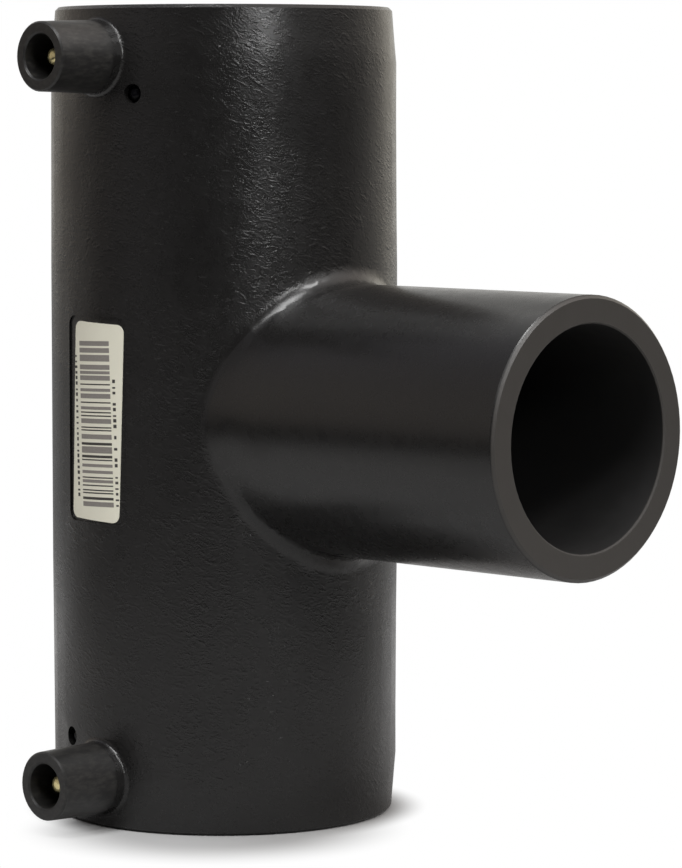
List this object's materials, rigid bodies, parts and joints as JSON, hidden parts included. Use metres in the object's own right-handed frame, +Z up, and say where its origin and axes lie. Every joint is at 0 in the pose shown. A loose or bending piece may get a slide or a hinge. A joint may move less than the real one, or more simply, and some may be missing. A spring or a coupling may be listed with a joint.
{
  "type": "electrofusion tee",
  "caption": "Straight black plastic run with a fusion socket at each end, shrouded contact pins and a plain spigot branching off square at mid height.",
  "frame": {"origin": "centre of the lower socket's rim, on the run's axis, in the plane that the fitting stands on", "axes": "+Z up along the run's axis out of the upper socket, +X out of the branch spigot, -Y out of both contact pins"},
  "size_m": [0.1564, 0.099, 0.1912],
  "materials": {
    "black_polyethylene": "satin, with a fine leathery skin from the mould",
    "indicator_polyethylene": "smooth and glossy",
    "pin_brass": "turned, slightly dulled",
    "resistance_wire": "drawn copper alloy wire",
    "label_film": "matt printed film"
  },
  "bodies": {
    "root": {"body": "black_polyethylene", "heating_wire": "resistance_wire", "terminal_pin_upper": "pin_brass", "terminal_pin_lower": "pin_brass", "fusion_indicator_upper": "indicator_polyethylene", "fusion_indicator_lower": "indicator_polyethylene", "label": "label_film"}
  },
  "joints": []
}
